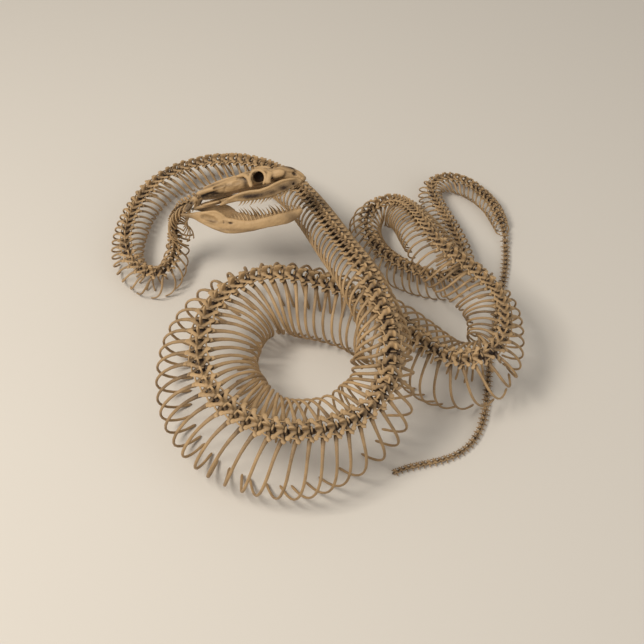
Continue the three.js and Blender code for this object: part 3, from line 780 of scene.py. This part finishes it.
BRAINCASE = [
    [8.6, 0, 15.5, 9, 3.2], [11, 0, 17.6, 8.7, 6.5], [16, 0, 19.6, 9, 9], [22, 0, 21.6, 10.2, 9.4],
    [31, 0, 25.8, 12.8, 8.8], [40, 0, 29.2, 16, 8.4], [48, 0, 31.2, 18.5, 8.2], [54, 0, 32.6, 20.5, 8],
    [60, 0, 35, 23.5, 8], [66, 0, 35.8, 25, 7.6], [72, 0, 36, 26, 7.2], [78, 0, 37.4, 27, 7.6],
    [84, 0, 37.4, 27.2, 7.2], [90, 0, 35.6, 27.2, 5.8], [95, 0, 33, 27, 4.6], [99.5, 0, 30.5, 26.8, 3],
]
MAXILLA = [
    [29, 17, 8, 5.2, 1.2], [36, 17.8, 12, 7.8, 1.5], [46, 18, 16.8, 10, 1.7], [57, 17.8, 19.8, 11.6, 1.9],
    [64.4, 17.3, 20, 12.7, 2], [73, 16, 23.6, 14.5, 2], [82.7, 13.2, 28.6, 18.2, 1.9],
    [90, 10.5, 30, 21.8, 1.7], [95, 8.3, 29.8, 24.3, 1.4], [98.8, 6, 29, 26, 1.1],
]
PALATE = [
    [3.5, 15.2, 3.4, 1, 1.1], [12, 14.8, 5.8, 2.6, 1.4], [24, 12.6, 9.2, 5.5, 1.6], [38, 9.5, 13.5, 10, 1.6],
    [52, 7, 16, 13, 1.5], [68, 5.5, 20, 17, 1.4], [82, 4.5, 25.5, 22.5, 1.1],
]
MANDIBLE = [
    [-4, 20.5, 0, -3, 1.5], [1, 20.5, -0.2, -3.6, 2.5], [6, 20.4, 0, -4.8, 2.1], [10, 20.3, 0.8, -6, 2],
    [19, 20.1, 1.6, -10.7, 1.8], [26, 19.8, 2.4, -13.6, 1.7], [31.5, 19.4, -0.3, -15.7, 1.7],
    [36, 19, -3.6, -16.8, 1.8], [46, 18, -6.2, -16.4, 1.8], [57, 16.4, -7, -14.8, 1.9],
    [68, 13.8, -4.3, -12, 1.9], [79, 10.3, -1.4, -10.3, 1.9], [86.4, 7.4, 0.4, -9.4, 1.9],
    [93.7, 4.3, 2, -6.3, 1.7], [98, 2.6, 2.6, -1.8, 1.2],
]


def outer_edge(rows, column, out, inset, first, last):
    """Points along the top or bottom edge of a bar, moved outward."""
    return [(r[0], r[1] + out, r[column] + inset) for r in rows if first <= r[0] <= last]


LABIAL_PITS = [(58, 19.6, 14), (67, 18.6, 15.6), (76, 16.8, 18.4), (85, 13.6, 22), (92, 10.8, 25)]


def socket_rim():
    """Points round the eye socket, from low behind the eye over the top to low before it."""
    angles = np.radians(np.linspace(236, -52, 13))
    return [
        (62 + 6.9 * math.cos(a), 13.2 - 1.2 * math.sin(a), 29.6 + 6.9 * math.sin(a)) for a in angles
    ]


def cranium_shapes():
    shapes = [bar(BRAINCASE, 1, 2.8, 70, 28)]
    shapes += [
        blob((7.6, 0, 11.6), (2.2, 2.6, 2.1)),                                       # occipital condyle
        strut([(10, 0, 18.4), (20, 0, 22.6), (31, 0, 27), (42, 0, 30.2)], [0.7, 1.0, 1.0, 0.6]),   # crest
        strut([(12, 0, 9.5), (30, 0, 13), (60, 0, 23), (86, 0, 26.5)], [1.8, 1.6, 1.5, 1.2]),      # keel
        blob((98.4, 0, 28.4), (2.9, 6.6, 2.4)),                                      # premaxilla
        strut([(99.5, 0, 29.5), (95, 0, 33.4), (89, 0, 36.4)], [1.7, 1.5, 1.3]),
    ]
    for side in (1, -1):
        shapes += [
            blob((14.5, 7, 14.8), (4.2, 3.4, 3.6), side),
            blob((25, 7.6, 17.5), (8.5, 2.8, 4), side, -0.35),
            blob((38, 7, 22.5), (9, 2.6, 4.2), side, -0.3),
            strut([(8.2, 13.8, 14.9), (16, 12.8, 17.6), (25, 11.2, 20.2), (34, 8.6, 23)],
                  [1.5, 1.7, 1.6, 1.2], side, 1.25),                          # supratemporal
            strut([(55, 8.4, 32.8), (59, 9.8, 35.4), (65, 10, 36), (70, 8.6, 34.6)],
                  [1.8, 2.2, 2.2, 1.9], side),                                # brow over the socket
            strut([(42, 6.5, 29.8), (48, 8, 31.2), (52, 10, 31.4)], [1.2, 1.8, 1.7], side),
            strut([(50.5, 9.2, 31.6), (53.6, 12, 29.8), (55.2, 14, 26.6), (57, 15.8, 21.8)],
                  [1.8, 1.4, 1.2, 1.1], side, 1.5, (1, 0, 0)),                # postorbital
            strut(socket_rim(), [1.0, 1.3, 1.2, 1.2, 1.5, 1.3], side, 1.0, (0, 1, 0)),
            strut([(72, 8, 34.4), (70.8, 11, 31.6), (70.4, 12.8, 28.4), (71, 13.6, 24.6)],
                  [2.5, 2.1, 1.9, 1.6], side, 1.5, (1, 0, 0)),                # prefrontal
            blob((77, 8.4, 32.6), (8, 2.3, 3.9), side, -0.3),
            blob((84, 3.7, 35.9), (8.5, 3.5, 2.4), side, 0.12),
            strut([(66, 2.2, 25), (80, 2.4, 25.6), (94, 2.6, 26.6)], [1.3, 1.5, 1.3], side),
            strut([(17, 8.6, 13.8), (11, 13, 12.4), (6.2, 16.4, 9)], [0.7, 0.55, 0.6], side),      # stapes
        ]
    cutters = []
    for side in (1, -1):
        cutters += [
            blob((62, 10, 29.8), (5.8, 9.2, 5.8), side),              # eye socket
            blob((24, 11.4, 14.4), (9, 2.8, 1.5), side, -0.25),       # gap under the temporal bar
            blob((92.6, 6.6, 32.4), (3.1, 3.4, 1.7), side, 0.45),     # nostril
            blob((30, 12.6, 22), (7.5, 3.2, 2.2), side, -0.3),        # hollow over the ear region
            blob((44, 11, 25.4), (6.5, 3.2, 3), side, -0.25),         # hollow behind the eye
            blob((66, 9, 21), (14, 3.4, 3.4), side, -0.3),            # roof of the mouth beside the keel
        ]
    return shapes, cutters


def groove(rows, share, out, radii, first, last, side):
    """A long hollow along a bar's outer face, at a share of its height from the bottom."""
    table = smooth_rows(rows, 24, 3)
    points = [
        (x, y + half + out, bottom + (top - bottom) * share)
        for x, y, top, bottom, half in table if first <= x <= last
    ]
    return strut(points, radii, side)


def furrows(rows, share, first, last, spacing, radii, side):
    """Short upright hollows in a row along a bar's outer face."""
    table = smooth_rows(rows, 60, 3)
    hollows = []
    for x in np.arange(first, last, spacing):
        y, top, bottom, half = [np.interp(x, table[:, 0], table[:, k]) for k in range(1, 5)]
        middle = bottom + (top - bottom) * (share + 0.06 * math.sin(2.3 * x))
        hollows.append(blob((x, y + half + 0.35, middle), radii, side, 0.35))
    return hollows


def maxilla_shapes(side):
    shapes = [
        bar(MAXILLA, side, 2.3),
        strut(outer_edge(MAXILLA, 2, 1.4, -0.8, 36, 95), [1.2, 1.5, 1.4, 1.3, 1.2, 1.0], side),
        strut(outer_edge(MAXILLA, 3, 0.2, 0.8, 46, 98.8), [1.0, 1.3, 1.3, 1.2, 0.9], side),
        strut([(40, 17.6, 12), (34, 16.2, 9.4), (30.5, 13.9, 8.2)], [1.5, 1.3, 1.1], side),
    ]
    cutters = [
        groove(MAXILLA, 0.6, 0.5, [0.8, 1.8, 2.0, 2.0, 1.6, 0.7], 42, 95, side),
        groove(MAXILLA, 0.4, 0.6, [0.8, 1.5, 1.7, 1.7, 1.4, 0.7], 50, 94, side),
        groove(MAXILLA, 0.5, -3.6, [0.8, 1.1, 1.1, 0.8], 48, 90, side),
    ]
    cutters += [blob((x, y, z), (0.9, 1.6, 0.55), side) for x, y, z in LABIAL_PITS]
    cutters += furrows(MAXILLA, 0.42, 47, 96, 2.4, (0.6, 0.85, 2.1), side)
    return shapes, cutters


def palate_shapes(side):
    shapes = [
        bar(PALATE, side, 2.2),
        blob((21, 14.4, 7.6), (9, 2.4, 1.3), side, -0.25),
        strut([(50, 7.4, 14.8), (52, 10.5, 15.6), (54, 14.2, 15.4)], [1.3, 1.0, 0.9], side),
    ]
    return shapes, [blob((20, 14.2, 9.2), (6.5, 1.2, 1.1), side, -0.25)]


def quadrate_shapes(side):
    shapes = [
        strut([(9, 14.6, 12.6), (6, 16.4, 9), (2.8, 18.4, 4.8), (0.8, 19.4, 1.6)],
              [2.6, 1.7, 1.6, 2.2], side, 1.35, (0.75, 0, -0.65)),
        blob((0.6, 19.8, 1.3), (1.8, 3.1, 1.2), side),
        strut([(0.2, 18.8, 9.6), (1.6, 18.4, 7.4), (3.2, 18, 5.6)], [0.5, 0.8, 1.1], side),
    ]
    return shapes, [blob((6.4, 18.6, 9.6), (2.2, 1.6, 3), side, 0.6)]


def mandible_shapes(side):
    dentary = [[r[0], r[1] + 0.25, r[2], r[3] + 0.1, r[4] + 0.3] for r in MANDIBLE if r[0] >= 36]
    shapes = [
        bar(MANDIBLE, side, 2.4, 70),
        bar(dentary, side, 2.4),
        strut(outer_edge(MANDIBLE, 2, 0.2, -0.8, 36, 98), [1.2, 1.5, 1.6, 1.5, 1.3, 1.1], side),
        strut(outer_edge(MANDIBLE, 3, 0.4, 0.9, 6, 93.7), [1.3, 1.6, 1.7, 1.6, 1.5, 1.3], side),
        strut([(8, 20.6, -0.4), (19, 20.6, 0.6), (26, 20.2, 1.6), (31, 19.8, -0.6), (35.5, 19.4, -3.8)],
              [1.2, 1.3, 1.4, 1.2, 1.0], side),
    ]
    cutters = [
        blob((22, 22.8, -4.6), (9.5, 2.9, 3.4), side, 0.3),           # hollow for the jaw muscle
        blob((33.4, 21.8, -6.5), (0.7, 1.8, 4.6), side, -0.15),       # rear edge of the toothed bone
        blob((39.5, 21.4, -8), (3.2, 1.9, 0.95), side, 0.1),
        blob((53.6, 19.6, -10.2), (2.8, 2.4, 1.0), side, 0.05),
        blob((70, 16.4, -8), (1.6, 1.6, 0.6), side),
        blob((81, 12.8, -5.2), (1.5, 1.7, 0.6), side),
        groove(MANDIBLE, 0.3, 0.7, [0.8, 1.5, 1.7, 1.7, 1.5, 0.8], 10, 90, side),
        groove(MANDIBLE, 0.74, 0.9, [0.6, 1.4, 1.6, 1.4, 0.6], 42, 92, side),
        blob((60, 13.2, -10.4), (28, 1.2, 1.1), side, -0.15),         # groove along the inside
    ]
    return shapes, cutters


def tooth_sockets(teeth):
    """Small swellings of the bone round the tooth roots."""
    return [blob(verts[8:16].mean(axis=0), (1.25, 1.15, 1.1)) for verts, _ in teeth]


def weathered(verts, faces, amount):
    """Low swellings and dips all over a bone, from a few waves of random direction."""
    normals = vertex_normals(verts, faces)
    waves = np.zeros(len(verts))
    for _ in range(14):
        way = RNG.standard_normal(3) / RNG.uniform(0.8, 3.0)
        waves += np.sin(verts @ way + RNG.uniform(0, 2 * math.pi))
    return verts + normals * (amount * waves / 3.7)[:, None]


# Patches of painted shade, in the eye socket, under the bars, along the jaws and at their ends: the middle of
# each in x, y and z, its reach along them, and how dark it is.
CRANIUM_SHADE_PATCHES = [
    ((86, 0, 37), (10, 9, 2.8), 0.8), ((98.5, 0, 28.5), (4, 8, 4), 0.5), ((62, 2.5, 30), (6, 5, 6), 0.9),
    ((28, 9, 12.5), (16, 6, 3.4), 0.8), ((50.5, 9, 24), (2.4, 5, 5), 0.7), ((10, 8, 11), (6, 8, 5), 0.5),
    ((24, 10, 16.4), (10, 5, 1.4), 0.6), ((36, 9, 22.5), (6, 5, 2), 0.5), ((80, 11, 29.2), (9, 4, 1.8), 0.7),
]
MAXILLA_SHADE_PATCHES = [
    ((40, 19.5, 10), (7, 4, 1.8), 0.5), ((52, 19.5, 14), (8, 4, 2.8), 0.8),
    ((63, 19, 15.4), (8, 4, 2.8), 0.85),
    ((74, 17.5, 18.2), (8, 4, 3), 0.85), ((84, 14, 22), (7, 4, 3.2), 0.85), ((92, 10, 26), (6, 4, 3), 0.65),
]
MANDIBLE_SHADE_PATCHES = [
    ((88, 7, -4), (11, 6, 5.5), 0.6), ((2, 20, -3), (9, 6, 5), 0.85), ((30, 19, -14), (16, 6, 2.2), 0.55),
    ((60, 17, -14.5), (22, 6, 1.8), 0.5), ((36, 20, -7.5), (5, 5, 1.6), 0.4),
    ((22, 21, -8), (9, 5, 1.6), 0.4),
]
OTHER_SHADE_PATCHES = [((3, 18, 5), (7, 6, 7), 0.75), ((30, 12, 9), (14, 5, 2.4), 0.5)]


def shade_patch_darkness(verts, shade_patches):
    """How much darker each vertex is, for the patches of painted shade round it, the same on both sides."""
    total = np.zeros(len(verts))
    points = np.column_stack([verts[:, 0], np.abs(verts[:, 1]), verts[:, 2]])
    for middle, reach, dark in shade_patches:
        total += dark * np.exp(-(((points - middle) / reach) ** 2).sum(axis=1))
    return total


def shade_patches_of(node):
    """The patches of painted shade of the bone that a node is."""
    by_bone = {"cranium": CRANIUM_SHADE_PATCHES, "maxilla": MAXILLA_SHADE_PATCHES, "mandible": MANDIBLE_SHADE_PATCHES}
    return by_bone.get(node.split("_")[0], OTHER_SHADE_PATCHES)


def skull_bones():
    """Name, replaced node, fused shapes, cutters and teeth of every bone of the skull."""
    bones = [("cranium_bone", "cranium", *cranium_shapes(), [])]
    for side, word in ((1, "left"), (-1, "right")):
        upper = tooth_row(MAXILLA, 3, 49, 97, 3.2, 4.3, 5.2, 0.8, 0.6, side)
        inner = tooth_row(PALATE, 3, 34, 80, 5, 1.6, 2.8, 1.2, 0.6, side)
        lower = tooth_row(MANDIBLE, 2, 41, 96, 3.2, 3.6, 7.4, 0.62, 0.6, side)
        bones += [
            (f"maxilla_{word}_bone", f"maxilla_{word}", *maxilla_shapes(side), upper),
            (f"palate_{word}_bone", f"palate_{word}", *palate_shapes(side), inner),
            (f"quadrate_{word}_bone", f"quadrate_{word}", *quadrate_shapes(side), []),
            (f"mandible_{word}_bone", f"mandible_{word}", *mandible_shapes(side), lower),
        ]
    return bones


SKULL_VOXEL = 0.5
SKULL_KEEP = 1.0
SKULL_AO_REACH, SKULL_AO_RAYS = 11.0, 10
SKULL_GROOVE_REACH, SKULL_GROOVE_RAYS = 2.6, 8
SKULL_WEATHERING = 0.1


def add_skull():
    skull_bone = bone_material("skull_bone", (0.46, 0.295, 0.14), (0.028, 0.013, 0.005), 0.36, 1400)
    made = []
    for name, node, shapes, cutters, teeth in skull_bones():
        verts, faces = fused(shapes + tooth_sockets(teeth), SKULL_VOXEL, 2, SKULL_KEEP, cutters)
        made.append((name, node, weathered(verts, faces, SKULL_WEATHERING), faces, teeth))
    for name, node, verts, faces, teeth in made:
        others = [(v, f) for other, _, v, f, _ in made if other != name]
        # Painted shade: darker where short rays from a vertex meet this bone or the others, at a wide and a
        # close reach.
        wide = hollowness(verts, faces, SKULL_AO_REACH, others, SKULL_AO_RAYS)
        close = hollowness(verts, faces, SKULL_GROOVE_REACH, None, SKULL_GROOVE_RAYS)
        hollow_shade = np.clip(spread_over_edges(0.75 * wide + 0.9 * close, faces, 2) * 1.3 - 0.12, 0, 1)
        # Painted shade on the teeth, darkest at their roots.
        tooth_root_shade = np.repeat(np.linspace(0.75, 0.05, len(TOOTH_SHARES)), TOOTH_SIDES)
        all_verts, all_faces = merged([(verts, faces)] + teeth)
        placed = SKULL_ORIGIN + all_verts @ SKULL_AXES.T
        piece = new_object(name, to_frame(placed), all_faces, skull_bone)
        write_attribute(piece, "hollow_shade", np.concatenate([hollow_shade] + [tooth_root_shade] * len(teeth)))
        # Tint: a small random tone plus the bone's patches of painted shade, and lighter teeth.
        tones_and_shade = [0.05 * RNG.standard_normal() + shade_patch_darkness(verts, shade_patches_of(node))]
        tones_and_shade += [np.full(len(v), -0.12 + 0.06 * RNG.standard_normal()) for v, _ in teeth]
        write_attribute(piece, "tint", np.concatenate(tones_and_shade))
        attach(piece, "root")
        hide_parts(node)


add_camera()
add_studio()
add_body()
add_skull()
